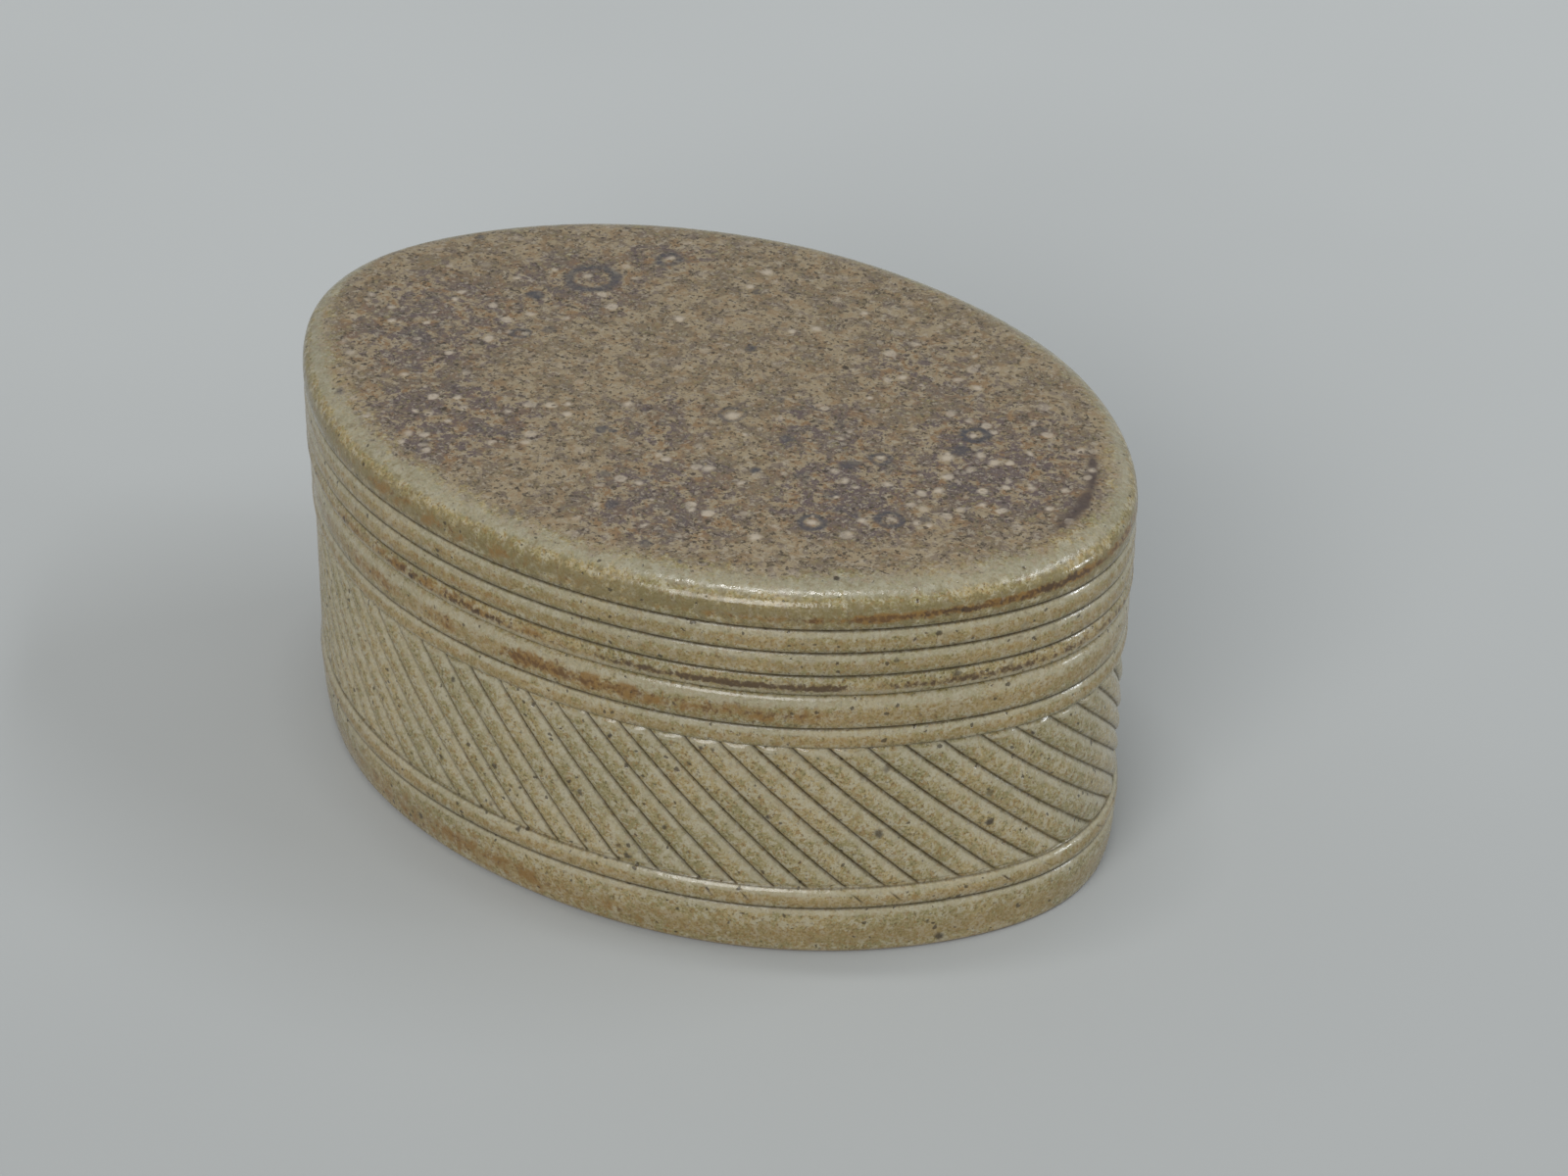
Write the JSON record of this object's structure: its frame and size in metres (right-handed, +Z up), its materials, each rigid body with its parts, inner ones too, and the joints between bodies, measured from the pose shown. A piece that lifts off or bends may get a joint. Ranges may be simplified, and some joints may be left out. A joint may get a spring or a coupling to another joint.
{
  "type": "oval lidded box",
  "caption": "Oval salt-glazed stoneware box with a lift-off cap lid, incised lines and a band of slanting flutes.",
  "frame": {"origin": "middle of the flat foot, on the surface that the box stands on", "axes": "+Z up along the lid's lift, +X along the long axis of the oval"},
  "size_m": [0.15, 0.1064, 0.0695],
  "materials": {
    "body_glaze": "gloss",
    "lid_glaze": "gloss"
  },
  "bodies": {
    "box": {"box_body": "body_glaze"},
    "lid": {"lid": "lid_glaze"}
  },
  "joints": [
    {"name": "lid_lift", "type": "slide", "parent": "box", "child": "lid", "axis": [0, 0, 1], "range_m": [0, 0.06]}
  ]
}
